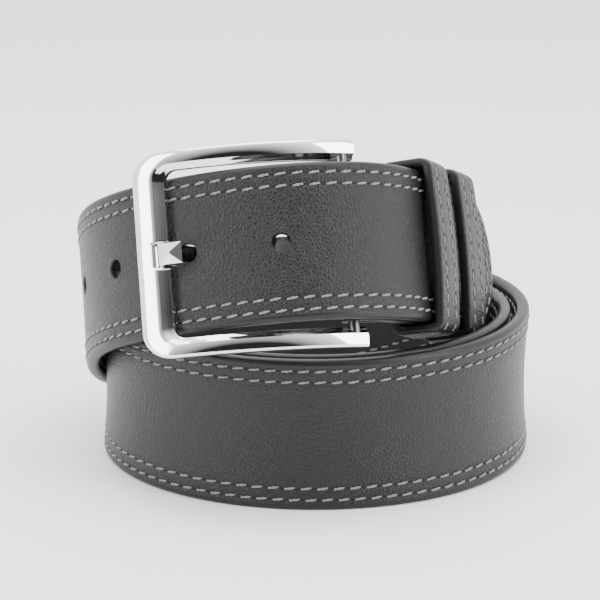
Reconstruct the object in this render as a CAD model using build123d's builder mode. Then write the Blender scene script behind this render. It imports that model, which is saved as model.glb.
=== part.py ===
from build123d import *
import math
import os

os.makedirs("parts", exist_ok=True)

# A buckled leather belt, wound into three flat turns that stand on their lower edge.
# Units are millimetres and degrees. The origin is under the middle of the whole belt, on the
# surface that it stands on, with +Z up and the buckle at the -Y side.
# "Along" the strap is counted from the tip of the tail, "across" is measured from its
# middle towards its upper edge, and "out" from its middle layer towards its smooth face.

# ---- strap ---------------------------------------------------------------------------
STRAP_WIDTH = 40.0
FACE_THICKNESS = 1.3
CORE_THICKNESS = 0.9
LINING_THICKNESS = 1.3
GLUE_LINE = 0.05
STRAP_THICKNESS = FACE_THICKNESS + CORE_THICKNESS + LINING_THICKNESS + 2 * GLUE_LINE
FACE_OUT = STRAP_THICKNESS / 2
LINING_OUT = -STRAP_THICKNESS / 2
LEVEL_TRIM = 0.3            # cut off the standing edge, to leave it flat
EDGE_FLARE = 1.1            # the strap's edges curl outwards by this much in the lower turns
STATION_STEP = 12.0         # distance between the sections that a strap layer is lofted through
RUN_LENGTH = 150.0          # a layer is lofted in runs of about this length
PUNCHED_RUN = 220.0         # the first run ends here, past the last hole
TIP_STEPS = [0.15, 1.2, 3.5, 7.0, 11.0, 15.5, 20.0]

# ---- route of the strap ---------------------------------------------------------------
MIDDLE = (2.75, 0.55)       # what the turns go round, seen from above
RING_TILT = 21.8            # the top turn is raised at the front
RING_ROLL = 4.8             # and a little higher at its right
RING_HEIGHT = 48.2          # height of the top turn's middle
TIP_PLAN = (50.95, 13.55)   # where the tail ends, seen from above
TAIL_HEADING = 66.4         # direction of the straight tail, from -X towards -Y
STRAIGHT_TAIL = 52.0
STRAIGHT_STEP = 10.4
# Turn angle (0 at the front, 90 at the left, 180 at the back) and radius of the middle layer.
TOP_TURN = [
    (-20.5, 51.6), (-11, 55.0), (-1.5, 57.6), (8, 59.2), (19, 60.2), (30, 61.2), (50, 62.3), (70, 62.0),
    (90, 61.4),
]
LOWER_TURNS = [
    (112, 62.4), (135, 63.6), (157, 63.8), (180, 63.0), (225, 60.2), (270, 56.3), (315, 55.6), (360, 55.2),
    (405, 55.4), (450, 55.3), (495, 54.3), (540, 52.8), (585, 51.6), (630, 51.1), (675, 51.0), (720, 50.85),
    (765, 51.1), (810, 50.4), (855, 48.6), (900, 46.2), (945, 43.4), (968, 42.2),
]
FIRST_TURN = -97
LAST_TURN = 1072
DESCENT = (55, 215)         # the lean fades out between these turn angles
ASCENT = (820, 985)         # and comes back between these
CHAPE_GAP = 0.8             # between the tail and the chape under it
CHAPE_OFFSET = STRAP_THICKNESS + CHAPE_GAP
CHAPE_RUN = [18, 30, 42, 53, 64, 73, 81]  # places along the tail that the chape lies under


def ring_height(x, y):
    """Height of the tilted top turn over a point of the plan."""
    rise = math.tan(math.radians(RING_TILT)) * (MIDDLE[1] - y)
    return RING_HEIGHT + rise + math.tan(math.radians(RING_ROLL)) * (x - MIDDLE[0])


RING_AXIS = Vector(
    -math.tan(math.radians(RING_ROLL)), math.tan(math.radians(RING_TILT)), 1
).normalized()


def ease(share):
    """Smooth step from 0 to 1."""
    share = min(max(share, 0.0), 1.0)
    return share**3 * (10 - 15 * share + 6 * share**2)


def lean_at(turn):
    """1 where the strap lies in the tilted top turn, 0 where it stands upright."""
    if turn < DESCENT[1]:
        return 1 - ease((turn - DESCENT[0]) / (DESCENT[1] - DESCENT[0]))
    return ease((turn - ASCENT[0]) / (ASCENT[1] - ASCENT[0]))


def route_point(x, y, turn):
    lean = lean_at(turn)
    return Vector(x, y, lean * ring_height(x, y) + (1 - lean) * STRAP_WIDTH / 2)


def polar_point(turn, radius):
    angle = math.radians(turn)
    return route_point(MIDDLE[0] - radius * math.sin(angle), MIDDLE[1] - radius * math.cos(angle), turn)


heading = math.radians(TAIL_HEADING)
tail_points = []
for step in range(int(STRAIGHT_TAIL / STRAIGHT_STEP) + 1):
    x = TIP_PLAN[0] - step * STRAIGHT_STEP * math.cos(heading)
    y = TIP_PLAN[1] - step * STRAIGHT_STEP * math.sin(heading)
    tail_points.append(route_point(x, y, FIRST_TURN))
tail_points += [polar_point(*place) for place in TOP_TURN]

with BuildLine() as tail_line:
    tail_route = Spline(*tail_points)


def outward(line, along):
    """Unit vector out of the strap's face, where it lies in the top turn."""
    return RING_AXIS.cross(line.tangent_at(along, position_mode=PositionMode.LENGTH))


chape_points = []
for along in CHAPE_RUN:
    on_tail = tail_route.position_at(along, position_mode=PositionMode.LENGTH)
    chape_points.append(on_tail - outward(tail_route, along) * CHAPE_OFFSET)

with BuildLine() as strap_line:
    route = Spline(*tail_points, *[polar_point(*place) for place in LOWER_TURNS], *chape_points)
STRAP_LENGTH = route.length

# ---- holes, keepers, buckle and prong -------------------------------------------------
FIRST_HOLE = 101.5          # from the tip of the tail
HOLE_PITCH = 25.0
HOLE_COUNT = 5
HOLE_RADIUS = 2.35
BUCKLED_HOLE = 1            # the second hole holds the prong, and is pulled long by it
BUCKLED_HOLE_SHIFT = 1.7
BUCKLED_HOLE_SIZE = (10.0, 5.4)
TIP_RADIUS = 20.0

OUTER_ROW = 17.2            # stitch rows, across from the strap's middle
INNER_ROW = 14.2
THREAD_WIDTH = 0.8
THREAD_HEIGHT = 0.14
THREAD_GAP = 0.14
THREAD_STEP = 4.0
STITCH_BREAK = 0.15

BAR_RADIUS = 1.5
BAR_CLEARANCE = 0.3
FOLD_RADIUS = BAR_RADIUS + BAR_CLEARANCE + FACE_THICKNESS / 2
FLAP_GAP = 0.25
FLAP_OUT = FACE_OUT - 1.5 * FACE_THICKNESS - FLAP_GAP
FLAP_SLOPE = 9.0            # the flap closes up to the outer leg over this length
LEG_STEP = 4.25
FLAP_CORNERS = [0, 9, 14.5, 20]  # the flap's side view bends at these distances from the fold
CHAPE_LEG = 34.0
BUTT_GAP = 0.1
LAYER_SETBACK = 20.5        # core and lining end this far before the fold
SLOT_WIDTH = 6.4
SLOT_LENGTH = 10.0

FRAME_THICKNESS = 3.2
FRAME_HALF_HEIGHT = 26.2
FRAME_END_HALF_HEIGHT = 26.7
WINDOW_HALF_HEIGHT = 21.4
FRONT_BAR_WIDTH = 7.6
FRONT_BAR_AT = 133.3        # the place along the tail that lies under the front bar
FRONT_BAR_GAP = 1.5
FRAME_BULGE = 5.6
EAR_LENGTH = 2.8
FRAME_CORNER = 7.0
WINDOW_CORNER = 3.0

PRONG_WIDTH = 4.2
PRONG_EYE_CLEARANCE = 0.06
PRONG_EYE_THICKNESS = 1.45
TIP_BLOCK_WIDTH = 5.4
TIP_BLOCK_LENGTH = 6.3
TIP_BLOCK_HEIGHT = 2.6
PYRAMID_HEIGHT = 1.3
SEAT_CLEARANCE = 0.3
SEAT_DEPTH = 2.0
SEAT_FLOOR = 0.2
BAR_FIT = 0.02
BAR_HALF_LENGTH = 24.6
# Side view of the shank in the buckle plan: ahead of the heel bar, and out of the belt.
PRONG_UPPER = [
    (1.5, 2.6), (6.0, 4.7), (11.0, 5.6), (16.0, 5.7), (21.0, 5.0), (26.0, 3.7), (31.0, 1.7), (34.8, -0.1),
    (37.0, -0.8), (38.8, -0.2), (40.4, 1.6), (41.35, 3.6), (42.0, 5.2),
]
PRONG_LOWER = [
    (2.6, -0.6), (7.0, 2.5), (12.0, 3.6), (16.5, 3.7), (21.0, 3.1), (26.0, 1.8), (31.0, -0.2), (34.5, -1.9),
    (37.4, -2.7), (40.4, -1.8), (42.7, 0.6), (44.2, 3.5),
]

RIVET_BACK = 14.0           # rivets, from the heel bar
RIVET_ACROSS = 11.0
RIVET_RADIUS = 1.5
RIVET_HEAD_RADIUS = 3.5
RIVET_HEAD_HEIGHT = 0.8
RIVET_FIT = 0.05
CAP_GAP = 0.4
CAP_HEIGHT = 1.2

KEEPER_WIDTH = 13.4
KEEPER_FACE = 1.2
KEEPER_LINING = 1.1
FIXED_KEEPER_AT = 50.0
FLOATING_KEEPER_AT = 28.0
KEEPER_CLEARANCE = 0.5
KEEPER_CORNER = 0.8
KEEPER_ROW = 3.2            # stitch rows, from the keeper's middle
STAPLE_SIZE = (7.0, 5.0, 0.6)


# ---- the strap's own frame ------------------------------------------------------------
def turn_at(along):
    """Turn angle of a place along the strap."""
    point = route.position_at(along, position_mode=PositionMode.LENGTH)
    polar = math.degrees(math.atan2(MIDDLE[0] - point.X, MIDDLE[1] - point.Y))
    rough = FIRST_TURN + along / STRAP_LENGTH * (LAST_TURN - FIRST_TURN)
    return polar + 360 * round((rough - polar) / 360)


def station(along, line=route, lean=None):
    """Plane across the strap: local X is across, local Y is out, local Z is towards the tip."""
    origin = line.position_at(along, position_mode=PositionMode.LENGTH)
    direction = line.tangent_at(along, position_mode=PositionMode.LENGTH)
    share = lean_at(turn_at(along)) if lean is None else lean
    axis = RING_AXIS * share + Vector(0, 0, 1) * (1 - share)
    across = (axis - direction * axis.dot(direction)).normalized()
    return Plane(origin=origin, x_dir=across, z_dir=direction * -1)


def facing(along, line=route):
    """Plane on the strap's middle layer, seen from its face: local X towards the tip."""
    here = station(along, line, lean=1)
    return Plane(origin=here.origin, x_dir=here.z_dir, z_dir=here.y_dir)


def lift(along):
    """How much of the lower turns' edge flare a place along the strap has."""
    return EDGE_FLARE * (1 - lean_at(turn_at(along)))


def even_steps(start, end, step):
    count = max(2, math.ceil((end - start) / step))
    return [start + (end - start) * index / count for index in range(count + 1)]


def strap_section(plane, low, high, inner, outer, flare):
    """Slice of a layer between two places across and two depths, curled by the flare."""
    def depth(across, out):
        return out + flare * (2 * across / STRAP_WIDTH) ** 2

    middle = (low + high) / 2
    with BuildSketch(plane) as section:
        with BuildLine():
            curves = []
            for out in (outer, inner):
                crown = 2 * depth(middle, out) - (depth(low, out) + depth(high, out)) / 2
                curves.append(Bezier((low, depth(low, out)), (middle, crown), (high, depth(high, out))))
            Line(curves[0] @ 0, curves[1] @ 0)
            Line(curves[0] @ 1, curves[1] @ 1)
        make_face()
    return section.sketch


def half_width(along):
    """Half of the strap's width, which falls away round the tip."""
    return math.sqrt(TIP_RADIUS**2 - max(TIP_RADIUS - along, 0) ** 2)


def layer_loft(places, inner, outer):
    """Stretch of a layer through the given places along the strap, trimmed level where it stands."""
    standing = all(lean_at(turn_at(along)) == 0 for along in places)
    sections = []
    for along in places:
        edge = half_width(along)
        low = -edge - LEVEL_TRIM if standing else -edge
        sections.append(strap_section(station(along), low, edge, inner, outer, lift(along)))
    stretch = loft(sections, mode=Mode.PRIVATE)
    if standing:
        stretch = split(stretch, bisect_by=Plane.XY, keep=Keep.TOP, mode=Mode.PRIVATE)
    add(stretch)


def hole_outline(index):
    stretched = index == BUCKLED_HOLE
    place = FIRST_HOLE + index * HOLE_PITCH + (BUCKLED_HOLE_SHIFT if stretched else 0)
    with BuildSketch(facing(place)) as outline:
        if stretched:
            SlotOverall(*BUCKLED_HOLE_SIZE)
        else:
            Circle(HOLE_RADIUS)
    return outline.sketch


# Ends of the runs. The last two are where the chape's outer leg starts and where the flap ends.
leg_start = STRAP_LENGTH - CHAPE_LEG - BUTT_GAP
run_ends = [TIP_RADIUS, *even_steps(PUNCHED_RUN, leg_start, RUN_LENGTH), STRAP_LENGTH - LAYER_SETBACK]
runs = [even_steps(start, end, STATION_STEP) for start, end in zip(run_ends, run_ends[1:])]


# ---- buckle frame's own frame ---------------------------------------------------------
fold_end = station(STRAP_LENGTH, lean=1)
fold_out = fold_end.y_dir
fold_ahead = fold_end.z_dir * -1
bar_depth = FACE_OUT - FACE_THICKNESS / 2 - FOLD_RADIUS
bar_centre = fold_end.origin + fold_out * bar_depth
fold_plan = Plane(origin=bar_centre, x_dir=fold_ahead, z_dir=RING_AXIS)
under_bar = station(FRONT_BAR_AT, lean=1)
front_bar_centre = under_bar.origin + under_bar.y_dir * (FACE_OUT + FRONT_BAR_GAP + FRAME_THICKNESS / 2)
frame_ahead = (front_bar_centre - bar_centre).normalized()
# local X from the heel bar to the front bar, local Y out of the belt, local Z across the strap
buckle_plan = Plane(origin=bar_centre, x_dir=frame_ahead, z_dir=RING_AXIS)
buckle_front = Plane(origin=bar_centre, x_dir=frame_ahead, z_dir=buckle_plan.y_dir)
FRAME_CHORD = (front_bar_centre - bar_centre).length


FRAME_RADIUS = ((FRAME_CHORD / 2) ** 2 + FRAME_BULGE**2) / (2 * FRAME_BULGE)
frame_arc_centre = Vector(FRAME_CHORD / 2, FRAME_BULGE - FRAME_RADIUS)
FRAME_END = FRAME_CHORD + FRONT_BAR_WIDTH / 2
WINDOW_END = FRAME_CHORD - FRONT_BAR_WIDTH / 2


def on_frame(ahead, out=0.0):
    """Point of the buckle plan at a distance ahead of the heel bar, on the frame's arc or out of it."""
    radius = FRAME_RADIUS + out
    side = ahead - frame_arc_centre.X
    return (ahead, frame_arc_centre.Y + math.sqrt(radius**2 - side**2))


# seat of the prong's tip block: parallel to the frame's face, just over the recess
tip_rear = on_frame(WINDOW_END + SEAT_DEPTH - SEAT_CLEARANCE)
tip_slope = -math.atan2(tip_rear[0] - frame_arc_centre.X, FRAME_RADIUS)
tip_dir = frame_ahead * math.cos(tip_slope) + buckle_plan.y_dir * math.sin(tip_slope)
tip_up = buckle_plan.y_dir * math.cos(tip_slope) - frame_ahead * math.sin(tip_slope)
tip_end_point = bar_centre + frame_ahead * tip_rear[0] + buckle_plan.y_dir * (tip_rear[1] + SEAT_FLOOR)
tip_block_plane = Plane(
    origin=tip_end_point - tip_dir * TIP_BLOCK_LENGTH / 2 + tip_up * SEAT_CLEARANCE,
    x_dir=tip_dir,
    z_dir=tip_up,
)


def save(builder, name):
    builder.part.label = name
    export_step(builder.part, f"parts/{name}.step")


# ======================================================================================
# Strap: face leather, core board and lining, bonded to one thickness
# ======================================================================================
def flap_point(back, out):
    """Point of the fold's plan on the flap, which runs back along the chape's lining."""
    here = station(STRAP_LENGTH - back, lean=1)
    start = bar_depth - FOLD_RADIUS
    depth = start + (FLAP_OUT - start) * ease(back / FLAP_SLOPE) - out
    local = fold_plan.to_local_coords(here.origin + here.y_dir * depth)
    return (local.X, local.Y)


def leg_point(back, out):
    """Point of the fold's plan on the chape's outer leg, which continues the strap's face."""
    here = station(STRAP_LENGTH - back, lean=1)
    local = fold_plan.to_local_coords(here.origin + here.y_dir * (FACE_OUT - FACE_THICKNESS / 2 + out))
    return (local.X, local.Y)


def chape_profile():
    """Side view of the chape: its outer leg, the turn round the heel bar and the flap."""
    half = FACE_THICKNESS / 2
    with BuildSketch(fold_plan) as profile:
        with BuildLine():
            sides = []
            for out in (half, -half):
                leg = Spline(*[leg_point(back, out) for back in even_steps(0, CHAPE_LEG, LEG_STEP)[::-1]])
                CenterArc((0, 0), FOLD_RADIUS + out, 90, -180)
                flap = Polyline(*[flap_point(back, out) for back in FLAP_CORNERS])
                sides.append((leg, flap))
            Line(sides[0][0] @ 0, sides[1][0] @ 0)
            Line(sides[0][1] @ 1, sides[1][1] @ 1)
        make_face()
    return profile.sketch


face_inner = FACE_OUT - FACE_THICKNESS
core_outer = face_inner - GLUE_LINE
core_inner = core_outer - CORE_THICKNESS
lining_outer = core_inner - GLUE_LINE

rivet_seat = station(STRAP_LENGTH - RIVET_BACK, lean=1)
rivet_plane = Plane(origin=rivet_seat.origin, x_dir=RING_AXIS, z_dir=rivet_seat.y_dir)
RIVET_PLACES = [(-RIVET_ACROSS, 0), (RIVET_ACROSS, 0)]


def rivet_discs(radius, plane=rivet_plane):
    with BuildSketch(plane) as discs:
        with Locations(*RIVET_PLACES):
            Circle(radius)
    return discs.sketch


def drill_for_rivets():
    """Rivet holes through the chape and its flap, clear of the tail above them."""
    drill = rivet_discs(RIVET_RADIUS + RIVET_FIT)
    extrude(drill, amount=FACE_OUT + CHAPE_GAP / 2, mode=Mode.SUBTRACT)
    extrude(drill, amount=-STRAP_THICKNESS, mode=Mode.SUBTRACT)


# depths of each layer, and the runs that it is made of
strap_layers = {
    "strap_face_leather": (face_inner, FACE_OUT, runs[:-1]),
    "strap_core_board": (core_inner, core_outer, runs),
    "strap_lining_leather": (LINING_OUT, lining_outer, runs),
}
for layer_name, (layer_inner, layer_outer, layer_runs) in strap_layers.items():
    with BuildPart() as layer:
        layer_loft(layer_runs[0], layer_inner, layer_outer)
        for index in range(HOLE_COUNT):
            extrude(hole_outline(index), amount=STRAP_THICKNESS, both=True, mode=Mode.SUBTRACT)
        layer_loft(TIP_STEPS, layer_inner, layer_outer)
        for places in layer_runs[1:]:
            layer_loft(places, layer_inner, layer_outer)
    save(layer, layer_name)

with BuildPart() as chape_leather:
    extrude(chape_profile(), amount=STRAP_WIDTH / 2, both=True)
    drill_for_rivets()
    sunk_plane = rivet_plane.offset(FACE_OUT - RIVET_HEAD_HEIGHT - RIVET_FIT)
    extrude(rivet_discs(RIVET_HEAD_RADIUS + RIVET_FIT, sunk_plane), amount=CHAPE_GAP + 1, mode=Mode.SUBTRACT)
    with BuildSketch(fold_plan):
        with Locations((-SLOT_LENGTH / 2 + FOLD_RADIUS + FACE_THICKNESS, 0)):
            Rectangle(SLOT_LENGTH, 4 * FOLD_RADIUS)
    extrude(amount=SLOT_WIDTH / 2, both=True, mode=Mode.SUBTRACT)
save(chape_leather, "chape_leather")


# ======================================================================================
# Stitching: two rows along both edges and round the tip, each of two locked threads
# ======================================================================================
def thread_section(plane, across, out, flare):
    low, high = across - THREAD_WIDTH / 2, across + THREAD_WIDTH / 2
    return strap_section(plane, low, high, out - THREAD_HEIGHT / 2, out + THREAD_HEIGHT / 2, flare)


def tip_plane(angle):
    """Plane across a row at a place on its half circle round the tip, from the upper edge down."""
    middle = facing(TIP_RADIUS)
    swing = math.radians(angle)
    spoke = middle.x_dir * math.sin(swing) + RING_AXIS * math.cos(swing)
    travel = middle.x_dir * math.cos(swing) - RING_AXIS * math.sin(swing)
    return Plane(origin=middle.origin, x_dir=spoke, z_dir=travel)


# The rows end one section before the chape. A row's thread shows in stretches, one a run.
row_runs = runs[:-2] + [runs[-2][:-1]]


def lay_row(across, out):
    """A row of thread along both edges of the strap and round its tip."""
    for edge in (across, -across):
        for places in row_runs:
            stretch = even_steps(places[0] + STITCH_BREAK, places[-1] - STITCH_BREAK, THREAD_STEP)
            loft([thread_section(station(along), edge, out, lift(along)) for along in stretch])
    loft([thread_section(tip_plane(angle), across, out, 0) for angle in range(0, 181, 15)])


thread_out = FACE_OUT + THREAD_GAP + THREAD_HEIGHT / 2
stitch_rows = {
    "outer_row_needle_thread": (OUTER_ROW, thread_out),
    "inner_row_needle_thread": (INNER_ROW, thread_out),
    "outer_row_bobbin_thread": (OUTER_ROW, -thread_out),
    "inner_row_bobbin_thread": (INNER_ROW, -thread_out),
}
for row_name, (row_across, row_out) in stitch_rows.items():
    with BuildPart() as thread_row:
        lay_row(row_across, row_out)
    save(thread_row, row_name)


# ======================================================================================
# Buckle: open-ended frame, heel bar pressed through its arms, and the prong
# ======================================================================================
def frame_band():
    """Side view of the frame: a strip of a large circle from behind the heel bar to the front."""
    half = FRAME_THICKNESS / 2
    start = math.degrees(math.acos((-EAR_LENGTH - frame_arc_centre.X) / FRAME_RADIUS))
    end = math.degrees(math.acos((FRAME_END + FRAME_THICKNESS - frame_arc_centre.X) / FRAME_RADIUS))
    with BuildSketch(buckle_plan) as band:
        with BuildLine():
            outer = CenterArc(frame_arc_centre, FRAME_RADIUS + half, start, end - start)
            inner = CenterArc(frame_arc_centre, FRAME_RADIUS - half, start, end - start)
            Line(outer @ 0, inner @ 0)
            Line(outer @ 1, inner @ 1)
        make_face()
    return band.sketch


def frame_outline():
    """Front view of the frame: a rounded C, open at the heel end, with tapering arms."""
    with BuildSketch(buckle_front) as outline:
        with BuildLine():
            Polyline(
                (-EAR_LENGTH - 1, -FRAME_END_HALF_HEIGHT),
                (FRAME_END, -FRAME_HALF_HEIGHT),
                (FRAME_END, FRAME_HALF_HEIGHT),
                (-EAR_LENGTH - 1, FRAME_END_HALF_HEIGHT),
                close=True,
            )
        make_face()
        fillet(outline.vertices().group_by(Axis.X)[-1], FRAME_CORNER)
        with BuildSketch(buckle_front, mode=Mode.PRIVATE) as window:
            with Locations(((WINDOW_END - EAR_LENGTH) / 2 - 2, 0)):
                Rectangle(WINDOW_END + EAR_LENGTH + 4, 2 * WINDOW_HALF_HEIGHT)
            fillet(window.vertices().group_by(Axis.X)[-1], WINDOW_CORNER)
        add(window.sketch_local, mode=Mode.SUBTRACT)
    return outline.sketch


with BuildPart() as buckle_frame:
    extrude(frame_band(), amount=FRAME_HALF_HEIGHT + 1, both=True)
    extrude(frame_outline(), amount=FRAME_RADIUS / 2, both=True, mode=Mode.INTERSECT)
    with BuildSketch(buckle_plan):
        Circle(BAR_RADIUS + BAR_FIT)
    extrude(amount=FRAME_HALF_HEIGHT + 1, both=True, mode=Mode.SUBTRACT)
    with BuildSketch(tip_block_plane.offset(-SEAT_CLEARANCE)):
        with Locations((TIP_BLOCK_LENGTH / 2 + SEAT_CLEARANCE, 0)):
            Rectangle(3 * SEAT_DEPTH, TIP_BLOCK_WIDTH + 2 * SEAT_CLEARANCE, align=(Align.MAX, Align.CENTER))
    extrude(amount=2 * FRAME_THICKNESS, mode=Mode.SUBTRACT)
save(buckle_frame, "buckle_frame")

with BuildPart() as heel_bar:
    with BuildSketch(buckle_plan):
        Circle(BAR_RADIUS)
    extrude(amount=BAR_HALF_LENGTH, both=True)
    chamfer(heel_bar.edges().filter_by(GeomType.CIRCLE), 0.3)
save(heel_bar, "heel_bar")

with BuildPart() as prong:
    with BuildSketch(buckle_plan):
        with BuildLine():
            upper = Spline(*PRONG_UPPER)
            lower = Spline(*PRONG_LOWER)
            Line(upper @ 0, lower @ 0)
            Line(upper @ 1, lower @ 1)
        make_face()
        Circle(BAR_RADIUS + PRONG_EYE_CLEARANCE + PRONG_EYE_THICKNESS)
        Circle(BAR_RADIUS + PRONG_EYE_CLEARANCE, mode=Mode.SUBTRACT)
    extrude(amount=PRONG_WIDTH / 2, both=True)
    with BuildSketch(tip_block_plane):
        Rectangle(TIP_BLOCK_LENGTH, TIP_BLOCK_WIDTH)
    extrude(amount=TIP_BLOCK_HEIGHT)
    with BuildSketch(tip_block_plane.offset(TIP_BLOCK_HEIGHT)):
        Rectangle(TIP_BLOCK_LENGTH, TIP_BLOCK_WIDTH)
    with BuildSketch(tip_block_plane.offset(TIP_BLOCK_HEIGHT + PYRAMID_HEIGHT)):
        Rectangle(TIP_BLOCK_LENGTH / 12, TIP_BLOCK_WIDTH / 12)
    loft(ruled=True)
save(prong, "prong")


# ======================================================================================
# Chape rivets: posts with sunk heads on the outside, caps on the flap
# ======================================================================================
flap_inner = FLAP_OUT - FACE_THICKNESS / 2
head_plane = rivet_plane.offset(FACE_OUT - RIVET_HEAD_HEIGHT)
rivet_reach = FACE_OUT - RIVET_HEAD_HEIGHT - flap_inner + CAP_HEIGHT / 2

with BuildPart() as chape_rivet_posts:
    extrude(rivet_discs(RIVET_HEAD_RADIUS, head_plane), amount=RIVET_HEAD_HEIGHT)
    extrude(rivet_discs(RIVET_RADIUS, head_plane), amount=-rivet_reach)
save(chape_rivet_posts, "chape_rivet_posts")

with BuildPart() as chape_rivet_caps:
    cap_plane = rivet_plane.offset(flap_inner - CAP_GAP)
    extrude(rivet_discs(RIVET_HEAD_RADIUS, cap_plane), amount=-CAP_HEIGHT)
    fillet(chape_rivet_caps.faces().sort_by(Axis(cap_plane.origin, cap_plane.z_dir))[:2].edges(), 0.4)
    extrude(rivet_discs(RIVET_RADIUS + RIVET_FIT, cap_plane), amount=-CAP_HEIGHT / 2, mode=Mode.SUBTRACT)
save(chape_rivet_caps, "chape_rivet_caps")


# ======================================================================================
# Keepers: a fixed loop beside the buckle and a floating one that slides along the tail
# ======================================================================================
def loop_outline(plane, inside, grow):
    """Rounded outline round the stack of straps: inside is its lowest and highest depth."""
    low, high = inside
    with BuildSketch(plane) as outline:
        with Locations((0, (low + high) / 2)):
            RectangleRounded(
                STRAP_WIDTH + 2 * (KEEPER_CLEARANCE + grow),
                high - low + 2 * (KEEPER_CLEARANCE + grow),
                KEEPER_CORNER + grow,
            )
    return outline.sketch


def loop_part(plane, inside, inner_grow, outer_grow, width):
    """A band of leather round the strap, centred on the plane."""
    extrude(loop_outline(plane, inside, outer_grow), amount=width / 2, both=True)
    extrude(loop_outline(plane, inside, inner_grow), amount=width, both=True, mode=Mode.SUBTRACT)


keepers = {"fixed_keeper": FIXED_KEEPER_AT, "floating_keeper": FLOATING_KEEPER_AT}
stitch_relief = THREAD_GAP + THREAD_HEIGHT
stack = (LINING_OUT - CHAPE_OFFSET - stitch_relief, FACE_OUT + stitch_relief)
full = KEEPER_LINING + GLUE_LINE + KEEPER_FACE
for keeper_name, keeper_at in keepers.items():
    across_plane = station(keeper_at, lean=1)
    with BuildPart() as keeper_lining:
        loop_part(across_plane, stack, 0, KEEPER_LINING, KEEPER_WIDTH)
    save(keeper_lining, f"{keeper_name}_lining")
    with BuildPart() as keeper_face:
        loop_part(across_plane, stack, KEEPER_LINING + GLUE_LINE, full, KEEPER_WIDTH)
    save(keeper_face, f"{keeper_name}_face")
    with BuildPart() as keeper_stitching:
        for row in (-KEEPER_ROW, KEEPER_ROW):
            loop_part(
                across_plane.offset(row), stack, full + THREAD_GAP, full + stitch_relief, THREAD_WIDTH
            )
    save(keeper_stitching, f"{keeper_name}_stitching")
    with BuildPart() as keeper_staple:
        depth = stack[0] - KEEPER_CLEARANCE - full - THREAD_GAP
        with BuildSketch(across_plane):
            with Locations((0, depth)):
                Rectangle(STAPLE_SIZE[0], STAPLE_SIZE[2], align=(Align.CENTER, Align.MAX))
        extrude(amount=STAPLE_SIZE[1] / 2, both=True)
    save(keeper_staple, f"{keeper_name}_staple")
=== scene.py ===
import math
import random

import bpy
import numpy as np
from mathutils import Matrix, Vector

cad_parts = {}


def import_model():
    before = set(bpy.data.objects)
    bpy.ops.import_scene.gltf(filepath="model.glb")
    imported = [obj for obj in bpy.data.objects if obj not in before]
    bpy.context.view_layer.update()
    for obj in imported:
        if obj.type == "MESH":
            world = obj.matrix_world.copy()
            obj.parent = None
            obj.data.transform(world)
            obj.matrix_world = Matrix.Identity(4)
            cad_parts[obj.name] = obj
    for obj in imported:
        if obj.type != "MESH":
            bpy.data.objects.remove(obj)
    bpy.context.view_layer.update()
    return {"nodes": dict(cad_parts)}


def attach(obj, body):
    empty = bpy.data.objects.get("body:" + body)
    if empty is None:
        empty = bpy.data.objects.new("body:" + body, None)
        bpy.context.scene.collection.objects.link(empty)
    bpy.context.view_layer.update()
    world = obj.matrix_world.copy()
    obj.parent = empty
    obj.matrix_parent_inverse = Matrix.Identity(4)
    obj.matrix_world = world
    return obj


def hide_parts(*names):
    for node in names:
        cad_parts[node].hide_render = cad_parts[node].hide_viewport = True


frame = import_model()
random.seed(7)

MM = 0.001

# ---- the strap's run, in millimetres, as the CAD model has it --------------------------
MIDDLE = (2.75, 0.55)
TILT = math.tan(math.radians(21.8))
ROLL = math.tan(math.radians(4.8))
RING_HEIGHT = 48.2
TIP_PLAN = (50.95, 13.55)
TAIL_HEADING = math.radians(66.4)
STRAIGHT_TAIL = 52.0
STRAIGHT_STEP = 10.4
TOP_TURN = [
    (-20.5, 51.6), (-11, 55.0), (-1.5, 57.6), (8, 59.2), (19, 60.2), (30, 61.2), (50, 62.3), (70, 62.0),
    (90, 61.4),
]
LOWER_TURNS = [
    (112, 62.4), (135, 63.6), (157, 63.8), (180, 63.0), (225, 60.2), (270, 56.3), (315, 55.6), (360, 55.2),
    (405, 55.4), (450, 55.3), (495, 54.3), (540, 52.8), (585, 51.6), (630, 51.1), (675, 51.0), (720, 50.85),
    (765, 51.1), (810, 50.4), (855, 48.6), (900, 46.2), (945, 43.4), (968, 42.2),
]
FIRST_TURN, LAST_TURN = -97, 1072
DESCENT, ASCENT = (55, 215), (820, 985)
STRAP_WIDTH, HALF, FACE, FLARE = 40.0, 20.0, 1.8, 1.1
CHAPE_OFFSET = 2 * FACE + 0.8
CHAPE_RUN = [18, 30, 42, 53, 64, 73, 81]
CHAPE_LEG, LAYER_SETBACK = 34.1, 20.5
RING_AXIS = np.array([-ROLL, TILT, 1.0])
RING_AXIS /= np.linalg.norm(RING_AXIS)
UP = np.array([0.0, 0.0, 1.0])


def unit(v):
    return v / np.linalg.norm(v, axis=-1, keepdims=True)


def ease(share):
    share = min(max(share, 0.0), 1.0)
    return share**3 * (10 - 15 * share + 6 * share**2)


def lean_at(turn):
    if turn < DESCENT[1]:
        return 1 - ease((turn - DESCENT[0]) / (DESCENT[1] - DESCENT[0]))
    return ease((turn - ASCENT[0]) / (ASCENT[1] - ASCENT[0]))


def route_point(x, y, turn):
    top = RING_HEIGHT + TILT * (MIDDLE[1] - y) + ROLL * (x - MIDDLE[0])
    lean = lean_at(turn)
    return (x, y, lean * top + (1 - lean) * STRAP_WIDTH / 2)


def polar_point(turn, radius):
    a = math.radians(turn)
    return route_point(MIDDLE[0] - radius * math.sin(a), MIDDLE[1] - radius * math.cos(a), turn)


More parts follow.
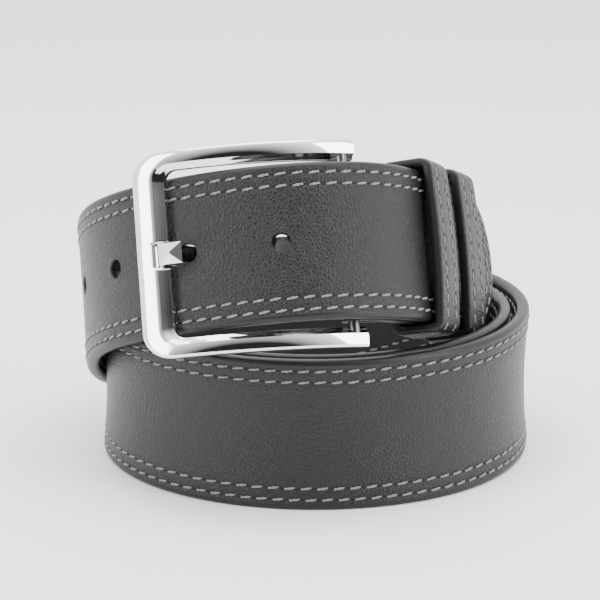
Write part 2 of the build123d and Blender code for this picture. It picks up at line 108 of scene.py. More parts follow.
class Smooth:
    """Natural cubic curve through points, read by the distance along it."""

    def __init__(self, points):
        p = np.array(points, float)
        t = np.concatenate([[0], np.cumsum(np.linalg.norm(np.diff(p, axis=0), axis=1))])
        n, h = len(t), np.diff(t)
        a, b = np.zeros((n, n)), np.zeros((n, 3))
        a[0, 0] = a[-1, -1] = 1
        for i in range(1, n - 1):
            a[i, i - 1:i + 2] = h[i - 1], 2 * (h[i - 1] + h[i]), h[i]
            b[i] = 6 * ((p[i + 1] - p[i]) / h[i] - (p[i] - p[i - 1]) / h[i - 1])
        m = np.linalg.solve(a, b)
        fine = np.linspace(0, t[-1], 12000)
        k = np.clip(np.searchsorted(t, fine, side="right") - 1, 0, n - 2)
        d, e, g = fine - t[k], t[k + 1] - fine, h[k]
        self.points = (
            m[k] * (e**3 / (6 * g))[:, None] + m[k + 1] * (d**3 / (6 * g))[:, None]
            + (p[k] / g[:, None] - m[k] * g[:, None] / 6) * e[:, None]
            + (p[k + 1] / g[:, None] - m[k + 1] * g[:, None] / 6) * d[:, None]
        )
        self.at = np.concatenate([[0], np.cumsum(np.linalg.norm(np.diff(self.points, axis=0), axis=1))])
        self.length = self.at[-1]
        self.slope = unit(np.gradient(self.points, self.at, axis=0))

    def read(self, s):
        s = np.asarray(s, float)
        place = np.stack([np.interp(s, self.at, self.points[:, i]) for i in range(3)], -1)
        return place, unit(np.stack([np.interp(s, self.at, self.slope[:, i]) for i in range(3)], -1))


tail = []
for step in range(int(STRAIGHT_TAIL / STRAIGHT_STEP) + 1):
    tail.append(route_point(
        TIP_PLAN[0] - step * STRAIGHT_STEP * math.cos(TAIL_HEADING),
        TIP_PLAN[1] - step * STRAIGHT_STEP * math.sin(TAIL_HEADING), FIRST_TURN,
    ))
tail += [polar_point(*place) for place in TOP_TURN]
tail_curve = Smooth(tail)
under, under_dir = tail_curve.read(CHAPE_RUN)
chape_points = under - np.cross(RING_AXIS, under_dir) * CHAPE_OFFSET
route = Smooth(tail + [polar_point(*place) for place in LOWER_TURNS] + [tuple(p) for p in chape_points])
LENGTH = route.length
LEG_START = LENGTH - CHAPE_LEG


def _leans():
    s = np.linspace(0, LENGTH, 2400)
    p, _ = route.read(s)
    polar = np.degrees(np.arctan2(MIDDLE[0] - p[:, 0], MIDDLE[1] - p[:, 1]))
    rough = FIRST_TURN + s / LENGTH * (LAST_TURN - FIRST_TURN)
    turn = polar + 360 * np.round((rough - polar) / 360)
    return s, np.array([lean_at(t) for t in turn])


LEAN_S, LEAN = _leans()


def spread(s, a, out, lean=None):
    """Point of the strap: s along from the tip, a across from its middle, out from its middle layer."""
    s, a, out = np.broadcast_arrays(np.asarray(s, float), np.asarray(a, float), np.asarray(out, float))
    place, along = route.read(s)
    share = np.interp(s, LEAN_S, LEAN) if lean is None else np.full(s.shape, float(lean))
    axis = RING_AXIS * share[..., None] + UP * (1 - share[..., None])
    across = unit(axis - along * (along * axis).sum(-1, keepdims=True))
    outward = np.cross(across, along)
    depth = out + FLARE * (1 - share) * (a / HALF) ** 2
    return place + across * a[..., None] + outward * depth[..., None]


def frame_at(s):
    """Middle of the strap at s, with its across, out and tipward directions, in the top turn."""
    place, along = route.read(s)
    across = unit(RING_AXIS - along * (along @ RING_AXIS))
    return place, across, np.cross(across, along), -along


# ---- small tools -----------------------------------------------------------------------
def piece(name, points, faces, body, materials, indices=None, sharp=35):
    """Mesh object from points in millimetres, riding on a CAD body."""
    mesh = bpy.data.meshes.new(name)
    mesh.from_pydata((np.asarray(points) * MM).tolist(), [], [list(map(int, f)) for f in faces])
    for material in materials:
        mesh.materials.append(material)
    if indices is not None:
        mesh.polygons.foreach_set("material_index", [int(i) for i in indices])
    mesh.polygons.foreach_set("use_smooth", [True] * len(mesh.polygons))
    mesh.validate()
    mesh.update()
    if sharp:
        mesh.set_sharp_from_angle(angle=math.radians(sharp))
    obj = bpy.data.objects.new(name, mesh)
    bpy.context.scene.collection.objects.link(obj)
    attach(obj, body)
    return obj


def grid_faces(rows, columns, wrap_rows=False, wrap_columns=False):
    faces = []
    for i in range(rows if wrap_rows else rows - 1):
        for j in range(columns if wrap_columns else columns - 1):
            k, l = (i + 1) % rows, (j + 1) % columns
            faces.append((i * columns + j, i * columns + l, k * columns + l, k * columns + j))
    return faces


# ---- materials --------------------------------------------------------------------------
def grey(value, tint=1.0):
    """Linear colour of an sRGB grey level, a touch cooler if tint is over 1."""
    c = (value / 255 + 0.055) / 1.055
    c = c**2.4
    return (c, c * 0.985, c * tint, 1)


def principled(name):
    material = bpy.data.materials.new(name)
    material.use_nodes = True
    return material, material.node_tree, material.node_tree.nodes["Principled BSDF"]


def leather(name, level, tint, rough, grain, depth, mottling=0.12):
    material, tree, shader = principled(name)
    new, link = tree.nodes.new, tree.links.new
    where = new("ShaderNodeTexCoord")
    cells = new("ShaderNodeTexVoronoi")
    cells.feature = "DISTANCE_TO_EDGE"
    cells.inputs["Scale"].default_value = grain
    link(where.outputs["Object"], cells.inputs["Vector"])
    crease = new("ShaderNodeMapRange")
    crease.inputs["From Max"].default_value = 0.25
    link(cells.outputs["Distance"], crease.inputs["Value"])
    fine = new("ShaderNodeTexNoise")
    fine.inputs["Scale"].default_value = grain * 1.7
    fine.inputs["Detail"].default_value = 4
    link(where.outputs["Object"], fine.inputs["Vector"])
    height = new("ShaderNodeMath")
    height.operation = "MULTIPLY_ADD"
    height.inputs[1].default_value = 0.55
    link(crease.outputs["Result"], height.inputs[0])
    link(fine.outputs["Fac"], height.inputs[2])
    bump = new("ShaderNodeBump")
    bump.inputs["Strength"].default_value = depth
    bump.inputs["Distance"].default_value = 0.00022
    link(height.outputs["Value"], bump.inputs["Height"])
    link(bump.outputs["Normal"], shader.inputs["Normal"])
    broad = new("ShaderNodeTexNoise")
    broad.inputs["Scale"].default_value = 55
    broad.inputs["Detail"].default_value = 3
    link(where.outputs["Object"], broad.inputs["Vector"])
    tone = new("ShaderNodeMapRange")
    tone.inputs["To Min"].default_value = 1 - mottling
    tone.inputs["To Max"].default_value = 1 + mottling
    link(broad.outputs["Fac"], tone.inputs["Value"])
    colour = new("ShaderNodeVectorMath")
    colour.operation = "SCALE"
    colour.inputs[0].default_value = grey(level, tint)[:3]
    link(tone.outputs["Result"], colour.inputs["Scale"])
    link(colour.outputs["Vector"], shader.inputs["Base Color"])
    shade = new("ShaderNodeMapRange")
    shade.inputs["To Min"].default_value = rough + 0.06
    shade.inputs["To Max"].default_value = rough - 0.04
    link(crease.outputs["Result"], shade.inputs["Value"])
    link(shade.outputs["Result"], shader.inputs["Roughness"])
    shader.inputs["Specular IOR Level"].default_value = 0.32
    return material


def metal(name, level, rough, wave=0.0):
    material, tree, shader = principled(name)
    shader.inputs["Base Color"].default_value = grey(level, 1.01)
    shader.inputs["Metallic"].default_value = 1
    new, link = tree.nodes.new, tree.links.new
    where = new("ShaderNodeTexCoord")
    soil = new("ShaderNodeTexNoise")
    soil.inputs["Scale"].default_value = 260
    soil.inputs["Detail"].default_value = 5
    link(where.outputs["Object"], soil.inputs["Vector"])
    shine = new("ShaderNodeMapRange")
    shine.inputs["To Min"].default_value = rough * 0.7
    shine.inputs["To Max"].default_value = rough * 1.4
    link(soil.outputs["Fac"], shine.inputs["Value"])
    link(shine.outputs["Result"], shader.inputs["Roughness"])
    if wave:
        bump = new("ShaderNodeBump")
        bump.inputs["Strength"].default_value = wave
        bump.inputs["Distance"].default_value = 0.0001
        link(soil.outputs["Fac"], bump.inputs["Height"])
        link(bump.outputs["Normal"], shader.inputs["Normal"])
    return material


def thread_material(name, level):
    material, tree, shader = principled(name)
    new, link = tree.nodes.new, tree.links.new
    where = new("ShaderNodeTexCoord")
    fuzz = new("ShaderNodeTexNoise")
    fuzz.inputs["Scale"].default_value = 5200
    fuzz.inputs["Detail"].default_value = 2
    link(where.outputs["Object"], fuzz.inputs["Vector"])
    tone = new("ShaderNodeValToRGB")
    tone.color_ramp.elements[0].color = grey(level * 0.72, 1.02)
    tone.color_ramp.elements[1].color = grey(level * 1.12, 1.02)
    tone.color_ramp.elements[0].position = 0.3
    tone.color_ramp.elements[1].position = 0.7
    link(fuzz.outputs["Fac"], tone.inputs["Fac"])
    link(tone.outputs["Color"], shader.inputs["Base Color"])
    bump = new("ShaderNodeBump")
    bump.inputs["Strength"].default_value = 0.5
    bump.inputs["Distance"].default_value = 0.00005
    link(fuzz.outputs["Fac"], bump.inputs["Height"])
    link(bump.outputs["Normal"], shader.inputs["Normal"])
    shader.inputs["Roughness"].default_value = 0.6
    shader.inputs["Sheen Weight"].default_value = 0.2
    return material


FACE_LEATHER = leather("face_leather", 24, 1.12, 0.38, 1000, 0.8)
LINING_LEATHER = leather("lining_leather", 34, 1.08, 0.46, 1500, 0.5)
EDGE_PAINT = leather("edge_paint", 22, 1.03, 0.38, 900, 0.2, 0.05)
KEEPER_LEATHER = leather("keeper_leather", 22, 1.12, 0.38, 1000, 0.8)
CHROME = metal("polished_chrome", 235, 0.07)
STEEL = metal("plated_steel", 110, 0.25, 0.2)
THREAD = thread_material("stitching_thread", 118)
BOBBIN = thread_material("bobbin_thread", 110)
# dark, rough discs at the needle holes: painted shade for the insides of the holes
STITCH_PIT_SHADE = leather("stitch_pit_painted_shade", 22, 1.0, 0.8, 900, 0.1)

# ---- strap --------------------------------------------------------------------------------
# one side of the cross-section, from the middle of the face to the middle of the edge
FACE_SIDE = [
    (0, 1.76), (1, 1.76), (2, 1.76), (3, 1.76), (4, 1.76), (6, 1.77), (8.5, 1.78), (11, 1.8), (12.6, 1.8),
    (13.3, 1.76), (13.8, 1.68), (14.2, 1.63), (14.6, 1.68), (15.1, 1.78), (15.7, 1.8), (16.3, 1.78),
    (16.8, 1.68), (17.2, 1.62), (17.6, 1.68), (18.0, 1.77), (18.5, 1.8), (19.0, 1.7), (19.45, 1.46),
    (19.75, 1.12), (19.93, 0.7), (20.0, 0.25),
]
LINING_SIDE = [
    (20.0, -0.25), (19.93, -0.7), (19.75, -1.12), (19.45, -1.46), (19.0, -1.7), (18.5, -1.79), (18.0, -1.77),
    (17.6, -1.71), (17.2, -1.67), (16.8, -1.71), (16.3, -1.78), (15.7, -1.8), (15.1, -1.78), (14.6, -1.71),
    (14.2, -1.67), (13.8, -1.71), (13.3, -1.77), (12.6, -1.8), (11, -1.8), (8.5, -1.8), (6, -1.8), (4, -1.8),
    (3, -1.8), (2, -1.8), (1, -1.8), (0, -1.8),
]
HALF_LOOP = FACE_SIDE + LINING_SIDE
PAINTED = (20, 31)          # the part of the half loop that is the painted edge
FACE_COUNT = len(FACE_SIDE)

FIRST_HOLE, HOLE_PITCH = 101.5, 25.0
HOLES = []                  # middle along the strap, half length, radius, cells along each side of its block
for number in range(5):
    if number == 1:
        HOLES.append((FIRST_HOLE + HOLE_PITCH + 1.7, 5.0, 2.7, 7))
    else:
        HOLES.append((FIRST_HOLE + number * HOLE_PITCH, 2.35, 2.35, 4))
BLOCK_ACROSS = 4


def stations():
    """Places along the strap of the mesh's rows, with whole millimetres round each hole."""
    places, at = [], 20.0
    for middle, _, _, cells in HOLES:
        count = max(2, round((middle - cells - at) / 1.25))
        places += list(np.linspace(at, middle - cells, count + 1)[:-1])
        places += [middle + step for step in range(-cells, cells)]
        at = middle + cells
    count = round((LEG_START - at) / 1.3)
    return np.array(places + list(np.linspace(at, LEG_START, count + 1)))


def strap_mesh():
    rows = stations()
    half = HALF_LOOP
    n = len(half)
    # whole loop: upper half from face middle to lining middle, then the lower half back
    loop = [(a, o, i) for i, (a, o) in enumerate(half)]
    loop += [(-a, o, i) for i, (a, o) in reversed(list(enumerate(half)))][1:-1]
    m = len(loop)
    across = np.array([p[0] for p in loop])
    outs = np.array([p[1] for p in loop])
    points = spread(rows[:, None], across[None, :], outs[None, :]).reshape(-1, 3).tolist()
    index_of = {}
    for j, (a, o, i) in enumerate(loop):
        index_of[(round(a, 3), i < FACE_COUNT)] = j

    def kind(j):
        i = loop[j][2]
        k = loop[(j + 1) % m][2]
        low = min(i, k)
        if PAINTED[0] <= low < PAINTED[1]:
            return 1
        return 0 if low < PAINTED[0] else 2

    faces, kinds = [], []
    blocks = []
    for middle, _, _, cells in HOLES:
        start = int(np.argmin(abs(rows - (middle - cells))))
        blocks.append((start, start + 2 * cells))
    for i in range(len(rows) - 1):
        in_block = any(b0 <= i < b1 for b0, b1 in blocks)
        for j in range(m):
            k = (j + 1) % m
            if in_block and max(abs(across[j]), abs(across[k])) <= BLOCK_ACROSS:
                continue
            faces.append((i * m + j, i * m + k, (i + 1) * m + k, (i + 1) * m + j))
            kinds.append(kind(j))

    # holes: a ring from the block's border to the rim, down the wall and back out on the lining
    for (middle, reach, radius, cells), (b0, b1) in zip(HOLES, blocks):
        rim = []
        for step in range(-cells, cells):
            rim.append((step, BLOCK_ACROSS))
        for step in range(BLOCK_ACROSS, -BLOCK_ACROSS, -1):
            rim.append((cells, step))
        for step in range(cells, -cells, -1):
            rim.append((step, -BLOCK_ACROSS))
        for step in range(-BLOCK_ACROSS, BLOCK_ACROSS):
            rim.append((-cells, step))
        straight = reach - radius
        sides = []
        for grow, face_out in ((0.85, 1.78), (0.4, 1.84), (0.12, 1.74), (0.0, 1.45)):
            sides.append((grow, face_out))
        for grow, lining_out in ((0.0, -1.4), (0.12, -1.68), (0.5, -1.79)):
            sides.append((grow, lining_out))
        base = len(points)
        for grow, out in sides:
            for ds, da in rim:
                centre = ds * straight / cells
                gap = math.hypot(ds - centre, da)
                s = middle + centre + (ds - centre) / gap * (radius + grow)
                a = da / gap * (radius + grow)
                points.append(spread(s, a, out).tolist())
        count = len(rim)

        def corner(place, face):
            row = b0 + place[0] + cells
            return row * m + index_of[(round(float(place[1]), 3), face)]

        rings = [[corner(place, True) for place in rim]]
        rings += [[base + r * count + c for c in range(count)] for r in range(len(sides))]
        rings.append([corner(place, False) for place in rim])
        for r in range(len(rings) - 1):
            for c in range(count):
                d = (c + 1) % count
                faces.append((rings[r][c], rings[r][d], rings[r + 1][d], rings[r + 1][c]))
                kinds.append(0 if r < 3 else (1 if r < 5 else 2))

    # rounded end: the half loop turned about the tip's middle
    turns = np.linspace(0, math.pi, 61)[1:-1]
    ring_base = len(points)
    a_half = np.array([p[0] for p in half])
    o_half = np.array([p[1] for p in half])
    for turn in turns:
        s = 20 - a_half[1:-1] * math.sin(turn)
        a = a_half[1:-1] * math.cos(turn)
        points += spread(s, a, o_half[1:-1]).tolist()
    inner = n - 2
    upper = [j for j in range(1, n - 1)]
    lower = [m - j for j in range(1, n - 1)]
    spokes = [upper] + [[ring_base + t * inner + j for j in range(inner)] for t in range(len(turns))] + [lower]
    for t in range(len(spokes) - 1):
        for j in range(inner - 1):
            faces.append((spokes[t][j], spokes[t][j + 1], spokes[t + 1][j + 1], spokes[t + 1][j]))
            kinds.append(kind(j + 1))
        faces.append((0, spokes[t][0], spokes[t + 1][0]))
        kinds.append(0)
        faces.append((n - 1, spokes[t + 1][-1], spokes[t][-1]))
        kinds.append(2)
    # cut end, under the chape
    last = (len(rows) - 1) * m
    faces.append(tuple(last + j for j in reversed(range(m))))
    kinds.append(1)
    return points, faces, kinds


points, faces, kinds = strap_mesh()
strap = piece("belt_strap", points, faces, "strap", [FACE_LEATHER, EDGE_PAINT, LINING_LEATHER], kinds, sharp=60)
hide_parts("strap_face_leather", "strap_core_board", "strap_lining_leather")


def plain_stretch(name, start, end, profile, body, material):
    """Closed stretch of the strap with its own cross-section."""
    rows = np.linspace(start, end, max(3, round((end - start) / 1.5)))
    a = np.array([p[0] for p in profile])
    o = np.array([p[1] for p in profile])
    points = spread(rows[:, None], a[None, :], o[None, :]).reshape(-1, 3)
    m = len(profile)
    faces = grid_faces(len(rows), m, wrap_columns=True)
    faces.append(tuple(range(m)))
    faces.append(tuple((len(rows) - 1) * m + j for j in reversed(range(m))))
    return piece(name, points, faces, body, [material], sharp=40)


STUB = [
    (-19.6, 0.4), (-18, 0.44), (0, 0.44), (18, 0.44), (19.6, 0.4), (19.95, 0.0), (19.95, -1.1), (19.6, -1.6),
    (18.8, -1.78), (0, -1.8), (-18.8, -1.78), (-19.6, -1.6), (-19.95, -1.1), (-19.95, 0.0),
]
stub = plain_stretch("strap_inner_end", LEG_START, LENGTH - LAYER_SETBACK, STUB, "strap", LINING_LEATHER)

# ---- stitching ------------------------------------------------------------------------------
OUTER_ROW, INNER_ROW = 17.2, 14.2
STITCH_PITCH, STITCH_VISIBLE = 4.1, 3.25
ROUND = 8
ALONG = 11


def row_place(q, reach, end):
    """Place (s, across) at a distance along a row that comes up one edge, round the tip and back."""
    run = end - 20
    arc = math.pi * reach
    q = np.asarray(q, float)
    first = q < run
    bend = (q >= run) & (q < run + arc)
    turn = np.clip((q - run) / reach, 0, math.pi)
    s = np.where(first, end - q, np.where(bend, 20 - reach * np.sin(turn), 20 + (q - run - arc)))
    a = np.where(first, reach, np.where(bend, reach * np.cos(turn), -reach))
    return s, a


def stitches(name, path, total, level, lift, radius, body, material, pitch=STITCH_PITCH,
             visible=STITCH_VISIBLE, slant=0.22, twist=2.2):
    """Separate twisted stitches along path(q, side) -> point, in millimetres. They dive in at both ends."""
    count = int(total / pitch)
    share = np.linspace(0, 1, ALONG)
    arch = np.clip(np.minimum(share, 1 - share) * 5.0, 0, 1)
    arch = arch * arch * (3 - 2 * arch)
    around = np.linspace(0, 2 * math.pi, ROUND + 1)[:-1]
    points, faces = [], []
    starts = (np.arange(count) + 0.5) * pitch - visible / 2
    q = starts[:, None] + share[None, :] * visible
    jitter = np.array([random.uniform(-1, 1) for _ in range(count)])
    side = (share[None, :] - 0.5) * 2 * slant + jitter[:, None] * 0.05
    height = level - radius * 1.3 + arch * (radius * 1.3 + lift)
    centre = path(q, side, height[None, :] + jitter[:, None] * 0.02)
    out_point = path(q, side, height[None, :] + 1.0)
    outward = unit(out_point - centre)
    along = unit(np.gradient(centre, axis=1))
    across = unit(np.cross(along, outward))
    phase = around[None, :] - twist * math.pi * share[:, None]
    swell = radius * (0.86 + 0.2 * np.cos(2 * phase))
    swell = swell * (0.72 + 0.28 * arch[:, None])
    ring = (
        centre[:, :, None, :]
        + across[:, :, None, :] * (swell * np.cos(around))[None, :, :, None]
        + outward[:, :, None, :] * (swell * np.sin(around))[None, :, :, None] * 0.9
    )
    points = ring.reshape(-1, 3)
    one = grid_faces(ALONG, ROUND, wrap_columns=True)
    one.append(tuple(range(ROUND)))
    one.append(tuple((ALONG - 1) * ROUND + j for j in reversed(range(ROUND))))
    size = ALONG * ROUND
    for number in range(count):
        faces += [tuple(v + number * size for v in face) for face in one]
    return piece(name, points, faces, body, [material], sharp=0)


def stitch_pit_shades(name, path, total, level, body, pitch=STITCH_PITCH, length=0.62, width=0.42):
    """Small dark slanted slits between the stitches, standing just proud of the leather: painted shade for the
    insides of the needle holes.
    """
    count = int(total / pitch)
    around = np.linspace(0, 2 * math.pi, 9)[:-1]
    q0 = np.arange(1, count) * pitch
    q = q0[:, None] + np.cos(around)[None, :] * length
    side = np.sin(around)[None, :] * width + np.zeros_like(q)
    rim = path(q, side, np.full(q.shape, level + 0.02))
    top = path(q0[:, None], np.zeros((len(q0), 1)), np.full((len(q0), 1), level + 0.05))
    points = np.concatenate([rim, top], axis=1).reshape(-1, 3)
    faces = []
    for number in range(len(q0)):
        base = number * 9
        faces += [(base + k, base + (k + 1) % 8, base + 8) for k in range(8)]
    return piece(name, points, faces, body, [STITCH_PIT_SHADE], sharp=0)


ROWS_END = LEG_START - 12.0
for row_name, reach in (("outer_row", OUTER_ROW), ("inner_row", INNER_ROW)):
    total = 2 * (ROWS_END - 20) + math.pi * reach

    def on_strap(q, side, out, reach=reach):
        s, a = row_place(q, reach, ROWS_END)
        s2, a2 = row_place(q, reach + 1, ROWS_END)
        # the side step runs away from the strap's middle, radially round the tip
        radial_s = np.where(s < 20, (s - 20) / reach, 0)
        radial_a = np.where(s < 20, a / reach, np.sign(a))
        return spread(s + radial_s * side, a + radial_a * side, out)

    for side_name, sign, level, material, node in (
        ("face", 1, 1.64, THREAD, "needle"), ("lining", -1, 1.66, BOBBIN, "bobbin"),
    ):
        def on_side(q, side, out, sign=sign):
            return on_strap(q, side, out * sign)

        sewn = stitches(f"{row_name}_{side_name}_stitches", on_side, total, level, 0.1, 0.34, "strap", material)
        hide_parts(f"{row_name}_{node}_thread")
        pits = stitch_pit_shades(f"{row_name}_{side_name}_needle_holes", on_side, total, level, "strap")

# ---- keepers ----------------------------------------------------------------------------------
INSIDE_HALF = 20.5
STACK = (-FACE - CHAPE_OFFSET - 0.28 - 0.5, FACE + 0.28 + 0.5)
CORNER = 0.8
THICK = 2.35
KEEPER_PROFILE = [          # along the strap, and out from the inside of the loop
    (-6.7, 0.5), (-6.7, 1.75), (-6.55, 2.1), (-6.2, 2.29), (-5.6, 2.35), (-4.2, 2.35), (-3.7, 2.28),
    (-3.2, 2.2), (-2.7, 2.28), (-2.2, 2.37), (-1.0, 2.42), (0, 2.44), (1.0, 2.42), (2.2, 2.37), (2.7, 2.28),
    (3.2, 2.2), (3.7, 2.28), (4.2, 2.35), (5.6, 2.35), (6.2, 2.29), (6.55, 2.1), (6.7, 1.75), (6.7, 0.5),
    (6.4, 0.12), (5.8, 0.0), (-5.8, 0.0), (-6.4, 0.12),
]


def loop_path():
    """Middles and directions of the inside outline's points, counter-clockwise from the lower right."""
    low, high = STACK
    corners = [
        (INSIDE_HALF - CORNER, high - CORNER, 0), (-INSIDE_HALF + CORNER, high - CORNER, 90),
        (-INSIDE_HALF + CORNER, low + CORNER, 180), (INSIDE_HALF - CORNER, low + CORNER, 270),
    ]
    places = []
    for number, (x, y, start) in enumerate(corners):
        for step in range(13):
            a = math.radians(start + 90 * step / 12)
            places.append((x, y, math.cos(a), math.sin(a)))
        nx, ny, _ = corners[(number + 1) % 4]
        pieces = 24 if number % 2 == 0 else 5
        a = math.radians(start + 90)
        for step in range(1, pieces):
            places.append((x + (nx - x) * step / pieces, y + (ny - y) * step / pieces, math.cos(a), math.sin(a)))
    return np.array(places)


LOOP = loop_path()


def bow(x, side):
    """How far a keeper's loop bows out at x, on the side over the strap's face."""
    return 1.1 * np.clip(side, 0, 1) * np.clip(1 - (x / 23) ** 2, 0, 1)


def keeper(name, at, body):
    place, across, outward, tipward = frame_at(at)

    def world(x, y, z):
        return place + x[..., None] * across + y[..., None] * outward + z[..., None] * tipward

    z = np.array([p[0] for p in KEEPER_PROFILE])
    t = np.array([p[1] for p in KEEPER_PROFILE])
    x = LOOP[:, 0, None] + (CORNER + t[None, :]) * LOOP[:, 2, None]
    y = LOOP[:, 1, None] + (CORNER + t[None, :]) * LOOP[:, 3, None]
    # the side over the strap's face bows outwards between its corners
    y = y + bow(LOOP[:, 0, None], LOOP[:, 3, None]) * (0.6 + 0.4 * t[None, :] / THICK)
    points = world(x, y, np.broadcast_to(z, x.shape)).reshape(-1, 3)
    m = len(KEEPER_PROFILE)
    faces = grid_faces(len(LOOP), m, wrap_rows=True, wrap_columns=True)
    kinds = []
    for f in faces:
        j = min(f[0] % m, f[1] % m) if abs(f[0] % m - f[1] % m) == 1 else m - 1
        kinds.append(0 if 2 <= j < 20 else (2 if 23 <= j <= 25 else 1))
    band = piece(f"{name}_band", points, faces, body, [KEEPER_LEATHER, EDGE_PAINT, LINING_LEATHER], kinds, sharp=50)
    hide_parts(f"{name}_face", f"{name}_lining")

    ring_x = LOOP[:, 0] + (CORNER + THICK) * LOOP[:, 2]
    ring_y = LOOP[:, 1] + (CORNER + THICK) * LOOP[:, 3]
    closed = np.stack([np.append(ring_x, ring_x[0]), np.append(ring_y, ring_y[0])], -1)
    walk = np.concatenate([[0], np.cumsum(np.linalg.norm(np.diff(closed, axis=0), axis=1))])
    normals = np.concatenate([LOOP[:, 2:4], LOOP[:1, 2:4]])
    total = walk[-1]

    for row in (-3.2, 3.2):
        def on_band(q, side, out, row=row):
            q = np.mod(q, total)
            px = np.interp(q, walk, closed[:, 0])
            py = np.interp(q, walk, closed[:, 1])
            nx = np.interp(q, walk, normals[:, 0])
            ny = np.interp(q, walk, normals[:, 1])
            grown = out - THICK
            return world(px + nx * grown, py + ny * grown + bow(px, ny), row + side)

        label = "a" if row < 0 else "b"
        pitch = total / round(total / 3.7)
        sewn = stitches(f"{name}_stitches_{label}", on_band, total + 0.01, 2.2, 0.08, 0.32, body, THREAD,
                        pitch=pitch, visible=2.9, slant=0.2)
        if row < 0:
            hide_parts(f"{name}_stitching")
        pits = stitch_pit_shades(f"{name}_needle_holes_{label}", on_band, total + 0.01, 2.2, body, pitch=pitch,
                            length=0.55, width=0.36)


keeper("fixed_keeper", 50.0, "strap")
keeper("floating_keeper", 28.0, "floating_keeper")

# ---- buckle -----------------------------------------------------------------------------------
FRAME_BULGE, FRONT_BAR_AT, FRONT_BAR_GAP, FRAME_THICK = 5.6, 133.3, 1.5, 3.2
FOLD_DEPTH = 1.5 + 0.3 + 0.65
HALF_HEIGHT, END_HALF, WINDOW_HALF = 26.2, 26.7, 21.4
BAR_WIDTH, EAR = 7.6, 2.8
OUT_R, IN_R = 7.0, 3.0
fold_place, _, fold_out, _ = frame_at(LENGTH)
bar = fold_place + fold_out * (FACE - 0.65 - FOLD_DEPTH)
seat_place, _, seat_out, _ = frame_at(FRONT_BAR_AT)
front = seat_place + seat_out * (FACE + FRONT_BAR_GAP + FRAME_THICK / 2)
chord = float(np.linalg.norm(front - bar))
ahead = (front - bar) / chord
buckle_out = np.cross(RING_AXIS, ahead)
RADIUS = ((chord / 2) ** 2 + FRAME_BULGE**2) / (2 * FRAME_BULGE)
ARC_X, ARC_Y = chord / 2, FRAME_BULGE - RADIUS
FRAME_END, WINDOW_END = chord + BAR_WIDTH / 2, chord - BAR_WIDTH / 2


def bent(x, z, h):
    """Point of the curved buckle: x ahead of the heel bar, z across, h out of the frame's middle."""
    swing = np.arcsin(np.clip((x - ARC_X) / RADIUS, -1, 1))
    u = ARC_X + (RADIUS + h) * np.sin(swing)
    v = ARC_Y + (RADIUS + h) * np.cos(swing)
    return bar + u[..., None] * ahead + v[..., None] * buckle_out + z[..., None] * RING_AXIS


def c_outline():
    """Matching points of the frame's outer and inner borders, from the upper arm's end to the lower's."""
    upper = []
    for share in np.linspace(0, 1, 26):
        x_out = -EAR + share * (FRAME_END - OUT_R + EAR)
        x_in = -EAR + share * (WINDOW_END - IN_R + EAR)
        z_out = END_HALF + (HALF_HEIGHT - END_HALF) * (x_out + EAR) / (FRAME_END + EAR)
        upper.append((x_out, z_out, x_in, WINDOW_HALF))
    for step in range(1, 17):
        a = math.radians(90 - 90 * step / 16)
        upper.append((
            FRAME_END - OUT_R + OUT_R * math.cos(a), HALF_HEIGHT - OUT_R + OUT_R * math.sin(a),
            WINDOW_END - IN_R + IN_R * math.cos(a), WINDOW_HALF - IN_R + IN_R * math.sin(a),
        ))
    bar_half_out, bar_half_in = HALF_HEIGHT - OUT_R, WINDOW_HALF - IN_R
    for z in (15, 12, 9, 6.5, 5, 4.2, 3.8, 3.6, 3.45, 3.3, 3.15, 3.0, 2.7, 2.2, 1.5, 0.7):
        notch = 1.75 * ease((3.62 - z) / 0.7)
        upper.append((FRAME_END, z * bar_half_out / bar_half_in, WINDOW_END + notch, z))
    lower = [(p[0], -p[1], p[2], -p[3]) for p in reversed(upper)]
    return np.array(upper + [(FRAME_END, 0, WINDOW_END + 1.75, 0)] + lower)


FRAME_PROFILE = [           # from the outer border (0) to the inner one (1), and out of the middle
    (0.0, -1.35), (0.0, 0.75), (0.012, 1.05), (0.045, 1.3), (0.10, 1.46), (0.18, 1.54), (0.36, 1.6),
    (0.55, 1.58), (0.68, 1.5), (0.70, 1.42), (0.83, 0.78), (0.85, 0.72), (0.965, 0.5), (0.99, 0.4),
    (1.0, 0.2), (1.0, -1.35), (0.96, -1.56), (0.85, -1.6), (0.15, -1.6), (0.04, -1.56),
]
outline = c_outline()
u = np.array([p[0] for p in FRAME_PROFILE])
h = np.array([p[1] for p in FRAME_PROFILE])
fx = outline[:, 0, None] * (1 - u) + outline[:, 2, None] * u
fz = outline[:, 1, None] * (1 - u) + outline[:, 3, None] * u
frame_points = bent(fx, fz, np.broadcast_to(h, fx.shape)).reshape(-1, 3)
m = len(FRAME_PROFILE)
frame_faces = grid_faces(len(outline), m, wrap_columns=True)
frame_faces.append(tuple(range(m)))
frame_faces.append(tuple((len(outline) - 1) * m + j for j in reversed(range(m))))
buckle = piece("buckle_c_frame", frame_points, frame_faces, "buckle", [CHROME], sharp=24)
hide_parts("buckle_frame")

# ---- CAD nodes that keep their own shape -------------------------------------------------------
KEPT = {
    "heel_bar": STEEL, "prong": CHROME, "chape_leather": FACE_LEATHER, "chape_rivet_posts": STEEL,
    "chape_rivet_caps": STEEL, "fixed_keeper_staple": STEEL, "floating_keeper_staple": STEEL,
}
for node, material in KEPT.items():
    obj = frame["nodes"][node]
    obj.data.materials.clear()
    obj.data.materials.append(material)
    if node in ("prong", "chape_leather"):
        soft = obj.modifiers.new("soft_edges", "BEVEL")
        soft.width = (0.28 if node == "prong" else 0.3) * MM
        soft.segments = 3
        soft.limit_method = "ANGLE"
        soft.angle_limit = math.radians(30)

# ---- room, light and camera ---------------------------------------------------------------------
def plain(name, colour, rough=0.6):
    material, _, shader = principled(name)
    shader.inputs["Base Color"].default_value = (*colour, 1)
    shader.inputs["Roughness"].default_value = rough
    return material


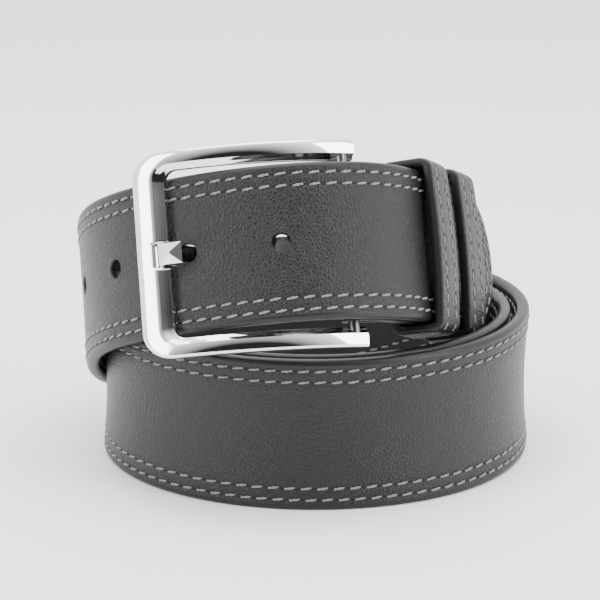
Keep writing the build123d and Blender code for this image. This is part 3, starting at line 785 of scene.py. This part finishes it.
bpy.ops.mesh.primitive_plane_add(size=6, location=(0, 0, 0))
floor = bpy.context.object
floor.name = "floor"
floor.data.materials.append(plain("pale_floor", (0.93, 0.93, 0.93)))

world = bpy.data.worlds.new("room")
bpy.context.scene.world = world
world.use_nodes = True
sky = world.node_tree.nodes["Background"]
sky.inputs["Color"].default_value = (1, 1, 1, 1)
# a bright room, dark in front of the belt, which is what the polished buckle shows
direction = world.node_tree.nodes.new("ShaderNodeTexCoord")
parts = world.node_tree.nodes.new("ShaderNodeSeparateXYZ")
glow = world.node_tree.nodes.new("ShaderNodeMapRange")
glow.inputs["From Min"].default_value = -0.88
glow.inputs["From Max"].default_value = -0.50
glow.inputs["To Min"].default_value = 0.03
glow.inputs["To Max"].default_value = 2.3
world.node_tree.links.new(direction.outputs["Generated"], parts.inputs["Vector"])
world.node_tree.links.new(parts.outputs["Y"], glow.inputs["Value"])
world.node_tree.links.new(glow.outputs["Result"], sky.inputs["Strength"])


def lamp(name, place, target, size, power):
    data = bpy.data.lights.new(name, "AREA")
    data.shape = "RECTANGLE"
    data.size, data.size_y = size
    data.energy = power
    obj = bpy.data.objects.new(name, data)
    obj.location = place
    obj.rotation_euler = (Vector(target) - Vector(place)).to_track_quat("-Z", "Y").to_euler()
    bpy.context.scene.collection.objects.link(obj)
    return obj


MID = (0.0, 0.0, 0.045)
lamp("overhead", (0.0, 0.05, 0.75), MID, (0.7, 0.7), 7.0)
lamp("left_soft", (-0.6, -0.45, 0.3), MID, (0.25, 0.6), 3.0)
lamp("right_soft", (0.6, -0.35, 0.3), MID, (0.25, 0.6), 3.5)

distance, elevation = 0.720, math.radians(14.80)
aim = Vector((-3.85 + MIDDLE[0], MIDDLE[1], 40.75)) * MM
camera_data = bpy.data.cameras.new("camera")
camera_data.lens = 157.55
camera_data.sensor_width = 36
camera = bpy.data.objects.new("camera", camera_data)
camera.location = aim + Vector((0, -math.cos(elevation), math.sin(elevation))) * distance
camera.rotation_euler = (aim - camera.location).to_track_quat("-Z", "Y").to_euler()
camera_data.clip_start = 0.01
bpy.context.scene.collection.objects.link(camera)
bpy.context.scene.camera = camera
